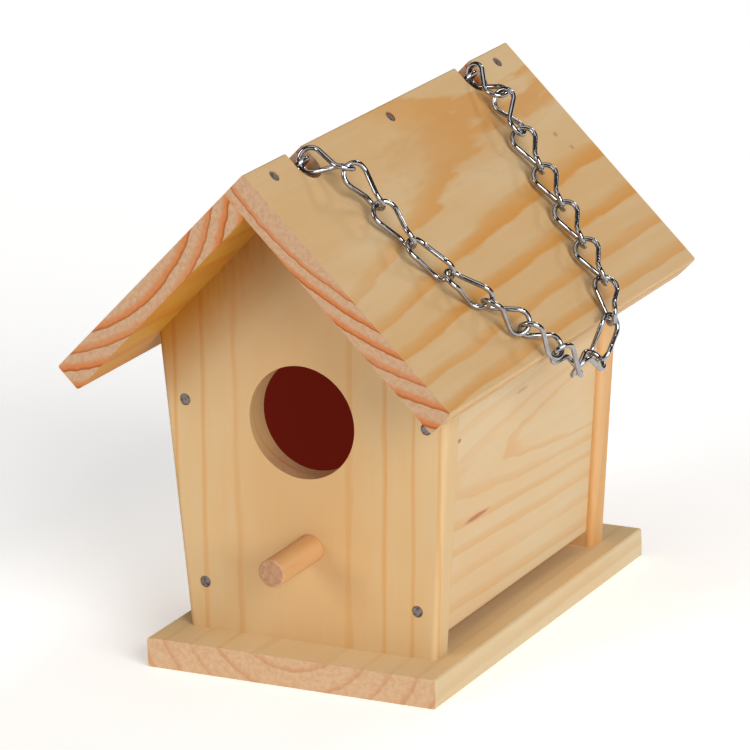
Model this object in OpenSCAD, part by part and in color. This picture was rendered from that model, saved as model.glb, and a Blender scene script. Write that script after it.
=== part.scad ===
// Hanging birdhouse of pine boards: a gabled box on a ledge floor, a square-ridged roof,
// a perch, and a twisted-link chain between two screw eyes.
// Millimetres. X is to the house's right, Y to its back, Z up.
// The origin is the centre of the floor board's underside.

/* [Boards] */
// Thickness of the stock that every board is cut from
board_t = 10; // [9:0.5:11]
// Radius of the sanded edges of the panels and walls
ease_r = 2; // [1:0.5:2.5]
// Radius of the floor and roof boards' edges, which are only lightly sanded
fine_ease_r = 0.8; // [0.5:0.1:2]

/* [Floor] */
// Width of the floor board
floor_w = 105; // [100:1:115]
// Depth of the floor board
floor_d = 162; // [158:1:170]
// How far the floor stands out in front of the front panel
front_ledge = 16; // [12:1:20]

/* [Walls] */
// Outside depth of the box, over both gabled panels
box_d = 131; // [128:1:134]
// Width of the gabled panels where they stand on the floor
panel_w = 90; // [84:1:94]
// Outward lean of the side walls, in degrees
wall_lean = 4.5; // [2:0.5:6]
// How far the side walls sit in from the panels' edges
wall_inset = 2.5; // [1.5:0.5:4]
// Air and drain gap under each side wall
vent_gap = 4.5; // [4.2:0.1:6]

/* [Entry and perch] */
// Diameter of the entry hole
hole_d = 38; // [28:1:40]
// Height of the entry hole's centre
hole_z = 85; // [80:1:90]
// Sideways place of the entry hole's centre
hole_x = -1; // [-2:0.5:2]
// Diameter of the perch dowel
perch_d = 9.5; // [8:0.5:12]
// Height of the perch's centre
perch_z = 42.5; // [38:0.5:48]
// Sideways place of the perch's centre
perch_x = 0.5; // [-2:0.5:2]
// How far the perch stands out of the front panel
perch_reach = 27; // [20:1:35]

/* [Roof] */
// Height of the gables' peak, where the two roof boards' undersides meet
peak_z = 162; // [156:1:168]
// Length of each roof board's underside, from the peak to the eave
slope_l = 89; // [86:1:94]
// Length of the roof along the ridge
roof_l = 190; // [184:1:200]
// How far the roof stands out in front of the front panel
front_overhang = 35; // [30:1:40]

/* [Fasteners] */
// Diameter of the nails' shanks
nail_d = 1.8; // [1.4:0.1:2]
// Diameter of the nails' heads
nail_head_d = 3.4; // [3:0.1:4]
// Length of the nails
nail_l = 28; // [22:1:30]

/* [Chain] */
// Diameter of the wire of the links and the screw eyes
wire_d = 1.7; // [1.6:0.05:1.75]
// Distance from one link to the next along the chain
link_pitch = 15.6; // [15.5:0.05:15.7]
// Mean radius of the round bow at each end of a link
bow_r = 3.85; // [3.7:0.05:3.9]
// Play between one link's wire and the next
link_play = 0.5; // [0.4:0.05:0.5]

/* [Hidden] */
$fn = 48;
cut = 1;             // how far a cutting tool runs past the wood
fit = 0.05;          // radial clearance of a pin in its hole
ridge_pitch = 45;    // square ridge: one roof board laps the end of the other

// The box
panel_front_y = front_ledge - floor_d / 2;
panel_back_y = panel_front_y + box_d;
wall_l = box_d - 2 * board_t;
panel_ys = [panel_front_y + board_t / 2, panel_back_y - board_t / 2];

// The roof
ridge_z = peak_z + board_t * sqrt(2);
roof_front_y = panel_front_y - front_overhang;
roof_mid_y = roof_front_y + roof_l / 2;
roof_run = slope_l + board_t;      // top face of a roof board, from the ridge to the eave

// Nails, with their heads sunk in shallow recesses
head_t = 0.8;
head_sink = 0.4;
recess_play = 0.6;
tip_l = 3;
wall_nail_zs = [26, 88];
ridge_nail_step = 81;
floor_nail_x = 25;

// Screw eyes: the top of each ring just clears the roof, and its shank is in the left board's end
wire_r = wire_d / 2;
eye_step = 61;                     // from the middle of the roof to each eye
eye_r = 3.4;
eye_top = 1;
eye_shank_r = 1.1;
eye_shank_l = 14;
notch_w = 12;
notch_l = 12;

// Chain: [heading toward the back, climb off the roof, roll] of each link, in degrees,
// from the eye to the eave
FRONT_LINKS = [[14, 34, -25], [17, -13, -50], [2, -2, -55], [18, 0, -80],
               [28, 0, 85], [32, 0, 45], [38, -7, 20], [60, -24, -10]];
REAR_LINKS = [[-24, 22, 15], [-22, -3, -10], [-21, -1, -40], [-22, 0, -40],
              [-23, 0, -40], [-23, 1, -40], [-38, -8, -65], [-60, -27, 70]];
HANG_ROLL = -5;                    // roll of the link that hangs between the two halves
half_count = len(FRONT_LINKS);
link_count = 2 * half_count + 1;
link_back = wire_r + link_play / 2;           // from a joint back to the link's own wire
link_l = link_pitch + 2 * link_back;

// Each leg of a link is an S: an arc, a straight and an arc, from one bow to the crossed one
leg_turn = 35;
joint_swell = 0.01;
leg_run = link_l - 2 * bow_r;
leg_rise = bow_r * sqrt(2);
leg_arc_r = (leg_run * sin(leg_turn) - leg_rise * cos(leg_turn)) / (2 * (1 - cos(leg_turn)));
leg_straight = (leg_run - 2 * leg_arc_r * sin(leg_turn)) / cos(leg_turn);

function link_name(k) = str("chain_link_", k < 10 ? "0" : "", k);
function heading(move) =
    [cos(move[1]) * cos(move[0]), cos(move[1]) * sin(move[0]), sin(move[1])];
function eye_wire(side) = [board_t / 2, roof_mid_y + side * eye_step, eye_top];
function chain_joint(side, moves, k) =
    k == 0 ? eye_wire(side) - link_back * heading(moves[0])
           : chain_joint(side, moves, k - 1) + link_pitch * heading(moves[k - 1]);

front_end = chain_joint(-1, FRONT_LINKS, half_count);
rear_end = chain_joint(1, REAR_LINKS, half_count);
hang_span = rear_end - front_end;
hang_move = [atan2(hang_span[1], hang_span[0]), asin(hang_span[2] / norm(hang_span)), HANG_ROLL];

// ---- Places ----

// Origin on the ridge line, X down the right slope, Z square to the roof
module on_right_slope() {
    translate([0, 0, ridge_z]) rotate([0, ridge_pitch, 0]) children();
}

module on_left_slope() {
    mirror([1, 0, 0]) on_right_slope() children();
}

// Both sides of the roof's middle, where the screw eyes stand
module at_eye(side) {
    on_right_slope() translate([board_t / 2, roof_mid_y + side * eye_step, 0]) children();
}

// Nails go along -Z of their places
module at_front_nails() {
    for (z = wall_nail_zs, side = [-1, 1])
        translate([side * wall_mid_x(z), panel_front_y, z]) rotate([90, 0, 0]) children();
}

module at_back_nails() {
    for (z = wall_nail_zs, side = [-1, 1])
        translate([side * wall_mid_x(z), panel_back_y, z]) rotate([-90, 0, 0]) children();
}

module at_ridge_nails() {
    on_right_slope() for (k = [-1:1])
        translate([board_t / 2, roof_mid_y + k * ridge_nail_step, 0]) children();
}

module at_floor_nails() {
    for (y = panel_ys, side = [-1, 1])
        translate([side * floor_nail_x, y, 0]) rotate([180, 0, 0]) children();
}

function wall_mid_x(z) =
    panel_w / 2 - wall_inset + (z - board_t) * tan(wall_lean) - board_t / 2 / cos(wall_lean);

// ---- Shapes that repeat ----

// Cross-section of a board, w by t from the origin, with the listed corners sanded to radius r:
// [low left, low right, high right, high left]
module board_section(w, t, eased, r) {
    difference() {
        square([w, t]);
        for (k = [0:3]) if (eased[k]) {
            translate([k == 1 || k == 2 ? w : 0, k > 1 ? t : 0]) rotate(90 * k)
                difference() {
                    translate([-cut, -cut]) square(r + cut);
                    translate([r, r]) circle(r);
                }
        }
    }
}

// A board whose grain runs along Y, from the section's X and Z
module board_along_y(w, t, l, eased, r = ease_r) {
    rotate([90, 0, 0]) translate([0, 0, -l]) linear_extrude(l) board_section(w, t, eased, r);
}

// Slab that leans with one side of a gabled panel, with that side's two edges sanded round
module panel_side_slab(side) {
    reach = panel_w + peak_z;
    translate([side * panel_w / 2, panel_front_y, board_t]) rotate([0, side * wall_lean, 0])
        mirror([side > 0 ? 1 : 0, 0, 0]) translate([0, 0, -peak_z])
            linear_extrude(2 * reach)
                board_section(reach, board_t, [true, false, false, true], ease_r);
}

// Gabled panel that stands on the floor, with its grain upright
module gabled_panel(y) {
    half = panel_w / 2 + peak_z * tan(wall_lean);
    intersection() {
        translate([0, y + board_t, 0]) rotate([90, 0, 0]) linear_extrude(board_t)
            polygon([[-half, board_t], [half, board_t], [half, peak_z - half],
                     [0, peak_z], [-half, peak_z - half]]);
        translate([0, y - panel_front_y, 0]) panel_side_slab(-1);
        translate([0, y - panel_front_y, 0]) panel_side_slab(1);
    }
}

// Right side wall: leans out, and its top is bevelled to lie under the roof
module side_wall() {
    difference() {
        translate([panel_w / 2 - wall_inset, panel_front_y + board_t, board_t])
            rotate([0, wall_lean, 0]) translate([-board_t, 0, vent_gap])
                board_along_y(board_t, peak_z, wall_l, [true, true, false, false]);
        on_right_slope() translate([-peak_z, -floor_d, -board_t])
            cube([3 * peak_z, 2 * floor_d, peak_z]);
        at_front_nails() nail_hole();
        at_back_nails() nail_hole();
    }
}

module nail() {
    translate([0, 0, -head_sink - head_t]) cylinder(h = head_t, d = nail_head_d);
    translate([0, 0, tip_l - nail_l]) cylinder(h = nail_l - tip_l - head_sink, d = nail_d);
    translate([0, 0, -nail_l]) cylinder(h = tip_l, r1 = 0.2, r2 = nail_d / 2);
}

module nail_hole() {
    recess = head_sink + head_t;
    translate([0, 0, -recess]) cylinder(h = recess + cut, d = nail_head_d + recess_play);
    translate([0, 0, -nail_l - fit]) cylinder(h = nail_l, d = nail_d + 2 * fit);
}

// Arc of wire about the origin, in the XY plane, from the +X side
module wire_arc(r, angle) {
    rotate_extrude(angle = angle) translate([r, 0]) circle(wire_r);
}

// Half ring that closes the -X end of a link, in the XY plane
module link_bow() {
    rotate([0, 0, 90]) wire_arc(bow_r, 180);
}

// First bend of a leg: leaves the origin along +X and turns toward +Y. A ball at each end,
// a hair wider than the wire, joins it to the next stretch.
module leg_bend() {
    translate([0, leg_arc_r, 0]) rotate([0, 0, -90]) {
        wire_arc(leg_arc_r, leg_turn);
        for (end = [0, leg_turn])
            rotate([0, 0, end]) translate([leg_arc_r, 0, 0]) sphere(wire_r + joint_swell);
    }
}

// One leg, from the origin along +X to a parallel line leg_rise away on +Y
module link_leg() {
    leg_bend();
    translate([leg_arc_r * sin(leg_turn), leg_arc_r * (1 - cos(leg_turn)), 0])
        rotate([0, 0, leg_turn]) rotate([0, 90, 0]) cylinder(h = leg_straight, r = wire_r);
    translate([leg_run, leg_rise, 0]) rotate([0, 0, 180]) leg_bend();
}

// Twisted link along +X: its first bow stands in the XZ plane and its second lies in the XY plane
module link() {
    union() {
        translate([bow_r - link_back, 0, 0]) rotate([90, 0, 0]) link_bow();
        translate([link_pitch + link_back - bow_r, 0, 0]) rotate([0, 0, 180]) link_bow();
        for (half_turn = [0, 180])
            rotate([half_turn, 0, 0]) translate([bow_r - link_back, 0, bow_r])
                rotate([225, 0, 0]) link_leg();
    }
}

module link_at(joint, move) {
    color("silver") on_right_slope() translate(joint)
        rotate([0, -move[1], move[0]]) rotate([move[2], 0, 0]) link();
}

module screw_eye(side) {
    color("silver") at_eye(side) {
        translate([0, 0, eye_top - eye_r]) rotate([0, 90, 0])
            rotate_extrude() translate([eye_r, 0]) circle(wire_r);
        translate([0, 0, -board_t - eye_shank_l + tip_l])
            cylinder(h = board_t + eye_shank_l - tip_l + eye_top - 2 * eye_r, r = eye_shank_r);
        translate([0, 0, -board_t - eye_shank_l])
            cylinder(h = tip_l, r1 = 0.3, r2 = eye_shank_r);
    }
}

// ---- Sub-parts ----

module floor_board() {
    color("burlywood") difference() {
        translate([-floor_w / 2, -floor_d / 2, 0])
            board_along_y(floor_w, board_t, floor_d, [true, true, true, true], fine_ease_r);
        at_floor_nails() nail_hole();
    }
}

module front_panel() {
    color("wheat") difference() {
        gabled_panel(panel_front_y);
        translate([hole_x, panel_front_y - cut, hole_z]) rotate([-90, 0, 0])
            cylinder(h = board_t + 2 * cut, d = hole_d, $fn = 96);
        translate([perch_x, panel_front_y - cut, perch_z]) rotate([-90, 0, 0])
            cylinder(h = board_t + 2 * cut, d = perch_d + 2 * fit);
        at_front_nails() nail_hole();
        at_floor_nails() nail_hole();
    }
}

module back_panel() {
    color("wheat") difference() {
        gabled_panel(panel_back_y - board_t);
        at_back_nails() nail_hole();
        at_floor_nails() nail_hole();
    }
}

module left_wall() {
    color("burlywood") mirror([1, 0, 0]) side_wall();
}

module right_wall() {
    color("burlywood") side_wall();
}

// Its top end butts the underside of the right board, and holds the ridge nails and the eyes
module left_roof_board() {
    color("burlywood") difference() {
        on_left_slope() translate([board_t, roof_front_y, -board_t])
            board_along_y(slope_l, board_t, roof_l, [false, true, true, false], fine_ease_r);
        at_ridge_nails() nail_hole();
        for (side = [-1, 1]) at_eye(side) translate([0, 0, -board_t - eye_shank_l - fit])
            cylinder(h = eye_shank_l + 2 * cut, r = eye_shank_r + fit);
    }
}

// Laps the left board's top end, and is notched round each screw eye
module right_roof_board() {
    color("wheat") difference() {
        on_right_slope() translate([0, roof_front_y, -board_t])
            board_along_y(roof_run, board_t, roof_l, [true, true, true, true], fine_ease_r);
        at_ridge_nails() nail_hole();
        for (side = [-1, 1]) at_eye(side) translate([-board_t / 2, 0, -board_t - cut])
            linear_extrude(board_t + 2 * cut) {
                translate([-cut, -notch_w / 2]) square([notch_l - notch_w / 2 + cut, notch_w]);
                translate([notch_l - notch_w / 2, 0]) circle(d = notch_w);
            }
    }
}

module perch_dowel() {
    chamfer = 0.6;
    color("tan") translate([perch_x, panel_front_y + board_t, perch_z]) rotate([90, 0, 0])
        rotate_extrude() polygon([[0, 0], [perch_d / 2, 0],
            [perch_d / 2, board_t + perch_reach - chamfer],
            [perch_d / 2 - chamfer, board_t + perch_reach], [0, board_t + perch_reach]]);
}

module front_wall_nails() {
    color("dimgray") at_front_nails() nail();
}

module back_wall_nails() {
    color("dimgray") at_back_nails() nail();
}

module ridge_nails() {
    color("dimgray") at_ridge_nails() nail();
}

module floor_nails() {
    color("dimgray") at_floor_nails() nail();
}

// Links are numbered from the front eye round to the rear eye
module chain_link(k) {
    if (k <= half_count)
        link_at(chain_joint(-1, FRONT_LINKS, k - 1), FRONT_LINKS[k - 1]);
    else if (k == half_count + 1)
        link_at(front_end, hang_move);
    else
        link_at(chain_joint(1, REAR_LINKS, link_count - k), REAR_LINKS[link_count - k]);
}

floor_board();
front_panel();
back_panel();
left_wall();
right_wall();
left_roof_board();
right_roof_board();
perch_dowel();
front_wall_nails();
back_wall_nails();
ridge_nails();
floor_nails();
screw_eye(-1);  // front_screw_eye
screw_eye(1);  // rear_screw_eye
for (k = [1:link_count])
    chain_link(k);
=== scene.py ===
import math

import bpy
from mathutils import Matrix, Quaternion, Vector


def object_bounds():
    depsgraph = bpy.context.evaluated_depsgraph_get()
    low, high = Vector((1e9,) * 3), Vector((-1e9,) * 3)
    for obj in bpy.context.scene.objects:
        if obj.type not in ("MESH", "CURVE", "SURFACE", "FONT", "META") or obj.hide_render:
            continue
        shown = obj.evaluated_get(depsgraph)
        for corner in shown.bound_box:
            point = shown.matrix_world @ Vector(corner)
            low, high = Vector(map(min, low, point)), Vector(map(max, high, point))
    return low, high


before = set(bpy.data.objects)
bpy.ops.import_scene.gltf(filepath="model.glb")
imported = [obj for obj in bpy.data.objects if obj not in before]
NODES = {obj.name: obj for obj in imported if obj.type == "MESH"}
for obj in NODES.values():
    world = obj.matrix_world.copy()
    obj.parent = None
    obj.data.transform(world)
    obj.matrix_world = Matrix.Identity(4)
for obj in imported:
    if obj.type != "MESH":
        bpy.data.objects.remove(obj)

MM = 0.001
CAD_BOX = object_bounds()


def linear(red, green, blue):
    """A colour written in 0 to 255 display values, as the shader's linear RGBA."""
    def one(level):
        share = level / 255
        return share / 12.92 if share <= 0.04045 else ((share + 0.055) / 1.055) ** 2.4
    return (one(red), one(green), one(blue), 1.0)


# ---------------------------------------------------------------- camera

CAMERA_TARGET = Vector((-0.0075, 0.0, 0.0818))
CAMERA_DISTANCE = 1.676
CAMERA_AZIMUTH = 27.275
CAMERA_ELEVATION = 16.964
CAMERA_ROLL = -1.673
CAMERA_LENS = 241.65
CAMERA_SENSOR = 36
CAMERA_NEAR, CAMERA_FAR = 0.05, 30


def place_camera():
    azimuth, elevation = math.radians(CAMERA_AZIMUTH), math.radians(CAMERA_ELEVATION)
    back = Vector((math.sin(azimuth) * math.cos(elevation),
                   -math.cos(azimuth) * math.cos(elevation), math.sin(elevation)))
    data = bpy.data.cameras.new("camera")
    data.lens, data.sensor_width = CAMERA_LENS, CAMERA_SENSOR
    data.clip_start, data.clip_end = CAMERA_NEAR, CAMERA_FAR
    camera = bpy.data.objects.new("camera", data)
    camera.location = CAMERA_TARGET + back * CAMERA_DISTANCE
    level = (-back).to_track_quat("-Z", "Y")
    camera.rotation_mode = "QUATERNION"
    camera.rotation_quaternion = Quaternion(back, math.radians(CAMERA_ROLL)) @ level
    bpy.context.scene.collection.objects.link(camera)
    bpy.context.scene.camera = camera


# ---------------------------------------------------------------- shader graph helper

class Graph:
    """One material and short calls that add nodes to it. Places are in the row frame, in metres."""

    def __init__(self, name):
        self.material = bpy.data.materials.new(name)
        self.material.use_nodes = True
        self.tree = self.material.node_tree
        self.shader = self.tree.nodes["Principled BSDF"]
        coord = self.node("ShaderNodeTexCoord")
        self.place, self.normal = coord.outputs["Object"], coord.outputs["Normal"]

    def node(self, kind, **settings):
        made = self.tree.nodes.new(kind)
        for key, value in settings.items():
            setattr(made, key, value)
        return made

    def put(self, socket, value):
        if isinstance(value, bpy.types.NodeSocket):
            self.tree.links.new(value, socket)
        else:
            socket.default_value = value

    def fed(self, made, values):
        """The node's outputs, with its first inputs set to the values."""
        for socket, value in zip(made.inputs, values):
            self.put(socket, value)
        return made.outputs

    def math(self, operation, *values, clamp=False):
        made = self.node("ShaderNodeMath", operation=operation, use_clamp=clamp)
        return self.fed(made, values)[0]

    def vector(self, operation, *values):
        made = self.node("ShaderNodeVectorMath", operation=operation)
        return self.fed(made, values)["Vector"]

    def measure(self, operation, *values):
        made = self.node("ShaderNodeVectorMath", operation=operation)
        return self.fed(made, values)["Value"]

    def scaled(self, vector, amount):
        made = self.node("ShaderNodeVectorMath", operation="SCALE")
        self.put(made.inputs["Scale"], amount)
        return self.fed(made, [vector])["Vector"]

    def split(self, vector):
        """The vector's x, y and z."""
        return self.fed(self.node("ShaderNodeSeparateXYZ"), [vector])

    def noise(self, at, scale, detail=2.0, roughness=0.5, output=0):
        made = self.node("ShaderNodeTexNoise")
        self.put(made.inputs["Vector"], at)
        self.put(made.inputs["Scale"], scale)
        self.put(made.inputs["Detail"], detail)
        self.put(made.inputs["Roughness"], roughness)
        return made.outputs[output]

    def ramp(self, value, *stops):
        """A value ramp: stops are (place, height)."""
        made = self.node("ShaderNodeValToRGB")
        points = made.color_ramp.elements
        while len(points) < len(stops):
            points.new(1.0)
        for point, (at, height) in zip(points, stops):
            point.position = at
            point.color = (height, height, height, 1)
        return self.fed(made, [value])[0]

    def step(self, value, low, high):
        """0 up to low, 1 from high on and smooth in between. low may be the larger."""
        made = self.node("ShaderNodeMapRange", interpolation_type="SMOOTHSTEP")
        self.put(made.inputs["Value"], value)
        made.inputs["From Min"].default_value = low
        made.inputs["From Max"].default_value = high
        return made.outputs["Result"]

    def spread(self, value, low, high):
        """A 0 to 1 value stretched to low to high."""
        return self.math("MULTIPLY_ADD", value, high - low, low)

    def mix(self, share, first, second, blend="MIX"):
        made = self.node("ShaderNodeMix", data_type="RGBA", blend_type=blend)
        self.put(made.inputs["Factor"], share)
        self.put(made.inputs[6], first)
        self.put(made.inputs[7], second)
        return made.outputs[2]

    def grey(self, value):
        """The value as a colour."""
        return self.fed(self.node("ShaderNodeCombineColor"), [value] * 3)[0]

    def bump(self, height, distance, strength):
        made = self.node("ShaderNodeBump")
        made.inputs["Strength"].default_value = strength
        made.inputs["Distance"].default_value = distance
        self.put(made.inputs["Height"], height)
        return made.outputs[0]


# ---------------------------------------------------------------- wood

PALE = linear(214, 184, 138)
WARM = linear(210, 172, 122)
RING = linear(196, 136, 60)
END_PALE = linear(190, 155, 121)
END_DARK = linear(180, 138, 105)
END_BAND = linear(194, 102, 20)
END_LINE = linear(132, 62, 14)
# Painted shade multiplied into the roof boards' undersides.
PAINTED_SHADE_AMBER = linear(246, 214, 110)
# Painted shade multiplied into the panels' tops near the roof boards.
DEEP_PAINTED_SHADE_AMBER = linear(204, 158, 36)
INSIDE = linear(85, 20, 11)
# Painted light: the stain inside glows as if lit.
PAINTED_INSIDE_GLOW = 0.95

# Noise as (stretch along the grain, features per metre, detail, roughness).
SWAY = (2.6, 22.0, 2.0, 0.5)
RAGGED = (6.0, 260.0, 2.0, 0.5)
FIBRE = (40.0, 1500.0, 3.0, 0.6)
STREAK = (20.0, 300.0, 2.0, 0.5)
CLOUD = (3.0, 26.0, 3.0, 0.55)
PATCH = (4.0, 34.0, 2.0, 0.5)
BLOT = (5.0, 500.0, 2.0, 0.5)
SPECK = (1.0, 700.0, 4.0, 0.6)
PORE = (1.0, 2400.0, 2.0, 0.7)

# Where a smooth change begins and ends.
TONE_CHANGE = (0.3, 0.7)        # noise: pale wood to warm wood
PATCH_CHANGE = (0.3, 0.62)      # noise: rings that show faintly to rings that show fully
SPECK_CHANGE = (0.35, 0.7)      # noise: pale to dark on an end
END_CHANGE = (0.55, 0.85)       # normal along the grain: a face to an end
MARK_CHANGE = (1.1, 0.55)       # distance as a share of a mark's half size: clear to marked
HEART_FADE = 0.5                # rings over which the bands fade in beside the heart

# The least and the most that noise makes of something.
RING_LEVELS = (0.7, 1.0)        # one ring's strength against the others'
PATCH_LEVELS = (0.6, 1.0)       # the rings' strength over a face
FIBRE_LEVELS = (0.97, 1.03)     # fine lines on a face
PORE_LEVELS = (0.84, 1.14)      # fine dots on an end
MARK_RAGGED = (-0.45, 0.45)     # a mark's outline, as a share of its half size
WOOD_ROUGHNESS = (0.50, 0.66)

# A ring's dark band: (knee as a share of the fade, height there, darkest place, where it ends).
FACE_SHAPE = (0.55, 0.65, 0.9, 0.94)
END_SHAPE = (0.5, 0.8, 0.93, 0.975)
END_WIDTH = 1.3                 # how much wider a band fades in on an end
EARLIEST = 0.02                 # a band starts no earlier in its ring
# The thin line at a band's outer edge on an end, as (place in the ring, height).
END_EDGE = ((0.0, 0.0), (0.82, 0.0), (0.92, 1.0), (0.98, 1.0), (1.0, 0.0))
EDGE_SHARE = 0.7                # the line's strength against the band's

RAGGED_MM = 1.3                 # how far the fine waves move a ring
GRAIN_DEPTH, GRAIN_STRENGTH = 0.00006, 0.5
LATE_RELIEF, FIBRE_RELIEF = 0.35, 0.6   # against the streaks' relief
LATE_SMOOTHER, END_ROUGHER = 0.06, 0.15
WOOD_SPECULAR = 0.3


class Grain:
    """A point's place about a board's pith line, which passes through pith (mm) along direction,
    and noise drawn out along it. bow is the line's offset per metre of length squared."""

    def __init__(self, g, pith, direction, bow):
        self.g = g
        self.direction = Vector(direction).normalized()
        out = g.vector("SUBTRACT", g.place, Vector(pith) * MM)
        along = g.measure("DOT_PRODUCT", out, self.direction)
        self.line = g.scaled(self.direction, along)
        self.across = g.vector("SUBTRACT", out, self.line)
        offset = g.scaled(Vector(bow), g.math("MULTIPLY", along, along))
        self.bent = g.vector("ADD", self.across, offset)

    def noise(self, kind, output=0):
        stretch, scale, detail, roughness = kind
        at = self.g.vector("ADD", self.across, self.g.scaled(self.line, 1 / stretch))
        return self.g.noise(at, scale, detail, roughness, output)

    def moved(self, kind, distance):
        """A random vector, up to half the distance (mm) each way."""
        centred = self.g.vector("SUBTRACT", self.noise(kind, output=1), (0.5, 0.5, 0.5))
        return self.g.scaled(centred, distance * MM)


def even_noise(g, kind):
    """Noise that is the same in every direction."""
    _, scale, detail, roughness = kind
    return g.noise(g.place, scale, detail, roughness)


def rings(g, grain, ring_gap, core, power, heart, wander):
    """How far a point is through its ring, from 0 to 1, and the strength of that ring's band."""
    swayed = g.vector("ADD", grain.moved(SWAY, wander * 2), grain.moved(RAGGED, RAGGED_MM))
    radius = g.measure("LENGTH", g.vector("ADD", grain.bent, swayed))
    count = g.math("DIVIDE", g.math("SUBTRACT", radius, core * MM), ring_gap * MM)
    count = g.math("POWER", g.math("MAXIMUM", count, 0.0), power)
    year = g.node("ShaderNodeTexWhiteNoise", noise_dimensions="1D")
    g.put(year.inputs["W"], g.math("FLOOR", count))
    strong = g.math("MULTIPLY", g.spread(year.outputs["Value"], *RING_LEVELS),
                    g.step(count, heart, heart + HEART_FADE))
    return g.math("FRACT", count), strong


def band(g, tooth, fade, shape):
    """A ring's dark band: it darkens over the fade, a share of the ring, and ends sharply."""
    knee, knee_height, peak, fall = shape
    return g.ramp(tooth, (0.0, 0.0), (max(EARLIEST, peak - fade), 0.0),
                  (peak - fade * knee, knee_height), (peak, 1.0), (fall, 1.0), (1.0, 0.0))


def face_colour(g, grain, late, fibre, streak, ring_share, streaks, pale, warm):
    """A face along the grain."""
    tone = g.math("ADD", g.spread(streak, -streaks, streaks), grain.noise(CLOUD), clamp=True)
    body = g.mix(g.step(tone, *TONE_CHANGE), pale, warm)
    patch = g.spread(g.step(grain.noise(PATCH), *PATCH_CHANGE), *PATCH_LEVELS)
    face = g.mix(g.math("MULTIPLY", late, g.math("MULTIPLY", patch, ring_share)), body, RING)
    return g.mix(1.0, face, g.grey(g.spread(fibre, *FIBRE_LEVELS)), "MULTIPLY")


def end_colour(g, tooth, strong, soft, end_share, end_pale, end_dark):
    """An end across the grain."""
    wedge = band(g, tooth, soft * END_WIDTH, END_SHAPE)
    edge = g.ramp(tooth, *END_EDGE)
    end = g.mix(g.step(even_noise(g, SPECK), *SPECK_CHANGE), end_pale, end_dark)
    for part, share, tint in ((wedge, end_share, END_BAND),
                              (edge, end_share * EDGE_SHARE, END_LINE)):
        end = g.mix(g.math("MULTIPLY", g.math("MULTIPLY", part, strong), share), end, tint)
    return g.mix(1.0, end, g.grey(g.spread(even_noise(g, PORE), *PORE_LEVELS)), "MULTIPLY")


def marked(g, grain, colour, centre, half, tint, share):
    """The colour with a ragged mark about the centre (mm), with the half sizes (mm)."""
    apart = g.vector("SUBTRACT", g.place, Vector(centre) * MM)
    apart = g.measure("LENGTH", g.vector("DIVIDE", apart, Vector(half) * MM))
    ragged = g.math("ADD", apart, g.spread(grain.noise(BLOT), *MARK_RAGGED))
    return g.mix(g.math("MULTIPLY", g.step(ragged, *MARK_CHANGE), share), colour, tint)


def stain_with_painted_glow(g, colour, share):
    """The colour with that share of it given a dark red stain, which glows faintly with painted
    light.
    """
    g.put(g.shader.inputs["Emission Color"], INSIDE)
    g.put(g.shader.inputs["Emission Strength"], g.math("MULTIPLY", share, PAINTED_INSIDE_GLOW))
    return g.mix(share, colour, INSIDE)


def sanded(g, late, fibre, streak, is_end):
    """The wood's fine relief and its dullness."""
    coarse = g.math("ADD", g.math("MULTIPLY", late, LATE_RELIEF), streak)
    height = g.math("ADD", coarse, g.math("MULTIPLY", fibre, FIBRE_RELIEF))
    g.put(g.shader.inputs["Normal"], g.bump(height, GRAIN_DEPTH, GRAIN_STRENGTH))
    dull = g.math("SUBTRACT", g.spread(fibre, *WOOD_ROUGHNESS),
                  g.math("MULTIPLY", late, LATE_SMOOTHER))
    dull = g.math("ADD", dull, g.math("MULTIPLY", is_end, END_ROUGHER))
    g.put(g.shader.inputs["Roughness"], dull)
    g.shader.inputs["Specular IOR Level"].default_value = WOOD_SPECULAR


def wood(name, pith, direction, ring_gap, core=0.0, power=1.0, heart=0.0, bow=(0, 0, 0),
         wander=1.2, soft=0.4, ring_share=0.8, end_share=0.9, streaks=0.5, pale=PALE, warm=WARM,
         end_pale=END_PALE, end_dark=END_DARK, inside=None, shade=None, shade_tint=PAINTED_SHADE_AMBER, marks=()):
    """Board wood. Growth rings are cylinders about the pith line, so a face along them shows
    bands and arches, and an end shows arcs. Rings are counted from the core radius (mm):
    ring_gap is the first one's width, and a power below 1 makes later ones wider. The heart
    rings nearest the pith don't show. wander (mm) is how far slow waves move a ring, and soft
    the share of a ring that its dark band fades in over. inside(graph) is the share of an
    inner face with a dark red stain that glows with painted light, shade(graph) the share of
    a face multiplied by the given tint as painted shade, and each of marks
    is (centre in mm, half sizes in mm, colour, share)."""
    g = Graph(name)
    grain = Grain(g, pith, direction, bow)
    tooth, strong = rings(g, grain, ring_gap, core, power, heart, wander)
    late = g.math("MULTIPLY", band(g, tooth, soft, FACE_SHAPE), strong)
    fibre, streak = grain.noise(FIBRE), grain.noise(STREAK)
    face = face_colour(g, grain, late, fibre, streak, ring_share, streaks, pale, warm)
    end = end_colour(g, tooth, strong, soft, end_share, end_pale, end_dark)
    slant = g.math("ABSOLUTE", g.measure("DOT_PRODUCT", g.normal, grain.direction))
    is_end = g.step(slant, *END_CHANGE)
    colour = g.mix(is_end, face, end)
    # Painted shade: that share of the face is multiplied by the tint.
    if shade is not None:
        colour = g.mix(shade(g), colour, shade_tint, "MULTIPLY")
    for mark in marks:
        colour = marked(g, grain, colour, *mark)
    # The stain inside also glows with painted light.
    if inside is not None:
        colour = stain_with_painted_glow(g, colour, inside(g))
    g.put(g.shader.inputs["Base Color"], colour)
    sanded(g, late, fibre, streak, is_end)
    return g.material


# ---------------------------------------------------------------- metals

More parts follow.
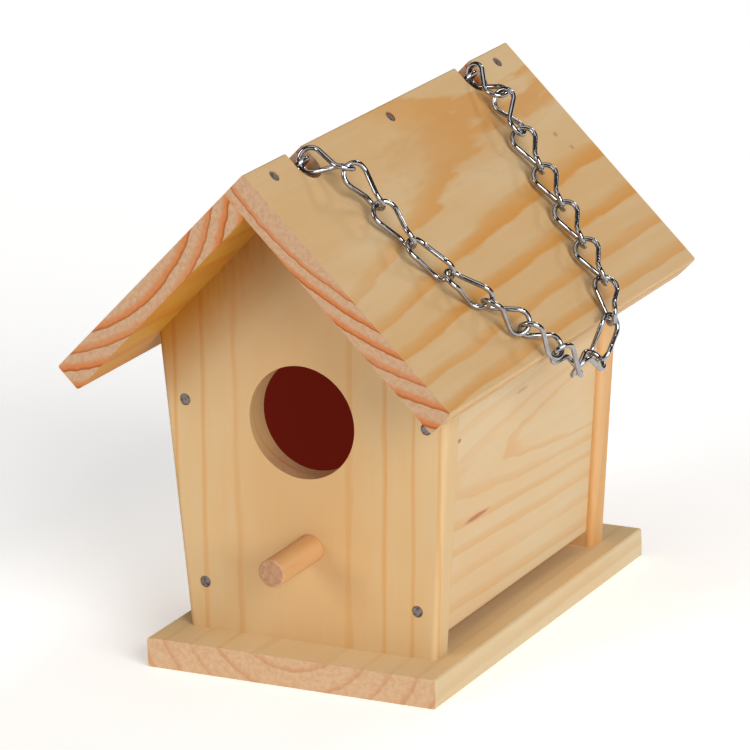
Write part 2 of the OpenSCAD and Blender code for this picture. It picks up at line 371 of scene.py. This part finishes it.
def metal(name, metallic, wear, light, dark, roughness, grain, depth, strength):
    """Metal. wear is (features per metre, from, to) of the change from light to dark, roughness
    (features per metre, detail, low, high) and grain (features per metre, detail)."""
    g = Graph(name)
    g.shader.inputs["Metallic"].default_value = metallic
    worn = g.step(g.noise(g.place, wear[0], 3.0), wear[1], wear[2])
    g.put(g.shader.inputs["Base Color"], g.mix(worn, light, dark))
    dull = g.spread(g.noise(g.place, roughness[0], roughness[1]), roughness[2], roughness[3])
    g.put(g.shader.inputs["Roughness"], dull)
    g.put(g.shader.inputs["Normal"], g.bump(g.noise(g.place, *grain), depth, strength))
    return g.material


# ---------------------------------------------------------------- stain with painted glow, and painted shade

CAVITY_LOW = (-33, -55.2, 9.8)  # mm
CAVITY_HIGH = (33, 56.2, 160)
GABLE_MIDDLE = 3                # mm: the painted shade on the gable grows to both sides of this x
GABLE_PAINTED_SHADE = (132, 166)        # mm: height plus distance aside where the painted shade begins and is full
FACES_IN = -0.01                # a wall's inner side has a facing() x (metres) below this
SIDEWAYS = 0.5                  # a flat board's long sides have a normal's x past this


def cavity(g):
    """The panels' and the floor's faces toward the inside, which have a dark red stain that glows
    with painted light.
    """
    share = None
    for socket, low, high in zip(g.split(g.place), CAVITY_LOW, CAVITY_HIGH):
        for edge, sign in ((low, 1), (high, -1)):
            past = g.math("MULTIPLY", g.math("SUBTRACT", socket, edge * MM), sign)
            part = g.math("GREATER_THAN", past, 0.0)
            share = part if share is None else g.math("MULTIPLY", share, part)
    return share


def facing(g):
    """The normal times the place: x below 0 faces the middle plane, z below 0 faces down."""
    return g.split(g.vector("MULTIPLY", g.normal, g.place))


def stained_wall(g):
    """The side of a wall that faces the cavity."""
    return g.math("LESS_THAN", facing(g)[0], FACES_IN)


def under_roof_painted_shade(g):
    """The underside of a sloping board, darkened and warmed with painted shade."""
    inward = facing(g)
    return g.math("MULTIPLY", g.math("LESS_THAN", inward[0], 0.0),
                  g.math("LESS_THAN", inward[2], 0.0))


def painted_shade_under_gable(g):
    """The top of a panel near the roof boards, darkened with painted shade, a little more on the
    left.
    """
    at = g.split(g.place)
    aside = g.math("ABSOLUTE", g.math("SUBTRACT", at[0], GABLE_MIDDLE * MM))
    begins, full = GABLE_PAINTED_SHADE
    return g.step(g.math("ADD", aside, at[2]), begins * MM, full * MM)


def painted_shade_on_sides(g):
    """The long narrow faces of a flat board, made darker and less yellow than its top with painted
    shade.
    """
    return g.math("GREATER_THAN", g.math("ABSOLUTE", g.split(g.normal)[0]), SIDEWAYS)


# ---------------------------------------------------------------- the house

RIDGE_Z = 176.142


def on_slope(side, down, height, y=0):
    """A point (mm) on a roof slope: side 1 is right, down from the ridge and height off it."""
    share = math.sqrt(0.5)
    return (side * share * (down + height), y, RIDGE_Z - share * down + share * height)


def paint(node, material):
    for slot in NODES[node].material_slots:
        slot.material = material


place_camera()

SPOT = linear(168, 112, 66)
# Painted shade darkens the roof boards' undersides and the panels' tops near the roof.
ROOF = {"streaks": 0.15, "ring_share": 1.0, "pale": linear(201, 171, 128),
        "warm": linear(198, 160, 110), "shade": under_roof_painted_shade}
# The panels' inner faces have a dark red stain that glows with painted light.
PANEL = {"end_share": 0.5, "inside": cavity, "shade": painted_shade_under_gable, "shade_tint": DEEP_PAINTED_SHADE_AMBER}
# The walls' inner faces have a dark red stain that glows with painted light.
WALL = {"soft": 0.35, "end_share": 0.5, "streaks": 0.2, "inside": stained_wall}

paint("right_roof_board", wood(
    "roof_wood_right", on_slope(1, 19.5, 121, 87), (0, 1, 0), 2.31, core=115, power=0.727,
    heart=1.2, bow=(0.27, 0, 0.014), wander=1.3, soft=0.34, **ROOF,
    marks=((on_slope(1, 23, 0, 22), (15, 62, 15), linear(188, 138, 80), 0.32),
           (on_slope(1, 37, 0, 73), (1, 1.3, 1), SPOT, 0.6),
           (on_slope(1, 43.7, 0, 76), (1, 1.1, 1), SPOT, 0.6),
           (on_slope(1, 33, 0, 2.5), (1.2, 2.2, 1.2), linear(196, 150, 60), 0.5))))
paint("left_roof_board", wood(
    "roof_wood_left", on_slope(-1, 54, 57, -100), (0, 1, 0), 5.6, core=57.8,
    bow=(-0.15, 0, 0.1), wander=1.5, soft=0.38, **ROOF))
paint("front_panel", wood(
    "panel_wood_front", (-6, -98, 0), (0.02, 0.01, 1.0), 7.8, wander=0.8, soft=0.11,
    ring_share=0.62, streaks=0.06, pale=linear(203, 174, 129), warm=linear(202, 164, 113),
    **PANEL, marks=(((-4, -65, 72), (34, 30, 110), linear(204, 156, 100), 0.24),)))
paint("back_panel", wood(
    "panel_wood_back", (-14, 94, 0), (0.02, 0.0, 1.0), 7.0, soft=0.3, ring_share=0.5,
    streaks=0.2, pale=linear(206, 176, 132), warm=linear(206, 158, 104), **PANEL))
paint("right_wall", wood(
    "wall_wood_right", (71.8, -63, 65), (-0.0576, 1.0, 0.0), 1.19, core=20.9, power=0.55,
    wander=1.4, ring_share=0.42, pale=linear(203, 181, 143), warm=linear(204, 173, 131), **WALL,
    marks=(((45.6, -33.5, 49.6), (3, 10.5, 1.0), linear(170, 104, 70), 0.9),
           ((48.0, -50.5, 80.2), (3, 2.0, 0.8), linear(150, 100, 60), 0.8),
           ((48.3, -3.0, 84.0), (3, 5.0, 0.8), linear(186, 140, 104), 0.7))))
paint("left_wall", wood(
    "wall_wood_left", (-78, -20, 58), (0.04, 1.0, 0.03), 3.4, core=8, power=0.75, wander=1.6,
    ring_share=0.5, **WALL))
# Painted shade darkens the floor board's long sides against its top.
paint("floor_board", wood(
    "floor_wood", (0, 0, 32), (0.0, 1.0, 0.01), 8.5, core=0.4, wander=0.8, soft=0.15,
    ring_share=0.25, end_share=0.22, streaks=0.1, pale=linear(224, 198, 153),
    warm=linear(225, 190, 139), end_pale=linear(200, 165, 129), end_dark=linear(192, 153, 114),
    inside=cavity, shade=painted_shade_on_sides, shade_tint=linear(231, 237, 247)))
paint("perch_dowel", wood(
    "dowel_wood", (14, 0, 60), (0.0, 1.0, 0.0), 1.6, wander=0.3, ring_share=0.2, end_share=0.2,
    pale=linear(203, 158, 108), warm=linear(196, 146, 94), end_pale=linear(178, 137, 105),
    end_dark=linear(160, 118, 86)))

NAIL_STEEL = metal("nail_steel", 0.7, (800.0, 0.4, 0.7), linear(130, 122, 123),
                   linear(90, 72, 60), (800.0, 3.0, 0.35, 0.6), (1600.0, 3.0), 0.00008, 0.5)
BRIGHT_WIRE = metal("bright_wire", 1.0, (260.0, 0.3, 0.8), linear(174, 174, 177),
                    linear(152, 149, 149), (500.0, 2.0, 0.09, 0.17), (500.0, 1.0), 0.00001, 0.05)
for name in NODES:
    if name.endswith("nails"):
        paint(name, NAIL_STEEL)
    elif name.startswith("chain") or name.endswith("eye"):
        paint(name, BRIGHT_WIRE)

# ---------------------------------------------------------------- floor and light

STUDIO_HALF = 8.0       # metres
STUDIO_DROP = 0.0002    # metres below the house, so that the two don't share a plane
STUDIO_GLOW = 0.34
WORLD_LIGHT = 0.04
WHITE = (1, 1, 1, 1)

# name, direction toward the light, width in degrees, strength
SUNS = (("front_left", (-0.5, -0.9, 0.4), 26, 0.9),
        ("right", (0.8, -0.5, 0.4), 40, 2.6),
        ("back", (0.15, 0.75, 0.65), 12, 0.45),
        ("top", (0.0, -0.1, 1.0), 50, 0.6))


def make_floor():
    g = Graph("studio_floor")
    g.put(g.shader.inputs["Base Color"], linear(248, 247, 245))
    g.put(g.shader.inputs["Roughness"], 0.9)
    g.put(g.shader.inputs["Emission Color"], WHITE)
    g.put(g.shader.inputs["Emission Strength"], STUDIO_GLOW)
    half = STUDIO_HALF
    mesh = bpy.data.meshes.new("studio_floor")
    mesh.from_pydata([(-half, -half, 0), (half, -half, 0), (half, half, 0), (-half, half, 0)], [],
                     [(0, 1, 2, 3)])
    mesh.materials.append(g.material)
    floor = bpy.data.objects.new("studio_floor", mesh)
    bpy.context.scene.collection.objects.link(floor)
    floor.location.z = CAD_BOX[0].z - STUDIO_DROP


def soft_sun(name, toward, width, strength):
    """Even light from far off, from the direction toward, as wide as width degrees."""
    data = bpy.data.lights.new(name, "SUN")
    data.angle = math.radians(width)
    data.energy = strength
    light = bpy.data.objects.new(name, data)
    light.rotation_mode = "QUATERNION"
    light.rotation_quaternion = (-Vector(toward)).to_track_quat("-Z", "Y")
    bpy.context.scene.collection.objects.link(light)


make_floor()
for sun in SUNS:
    soft_sun(*sun)
world = bpy.data.worlds.new("studio")
bpy.context.scene.world = world
world.use_nodes = True
background = world.node_tree.nodes["Background"].inputs
background["Color"].default_value = WHITE
background["Strength"].default_value = WORLD_LIGHT
bpy.context.scene.view_settings.view_transform = "Standard"
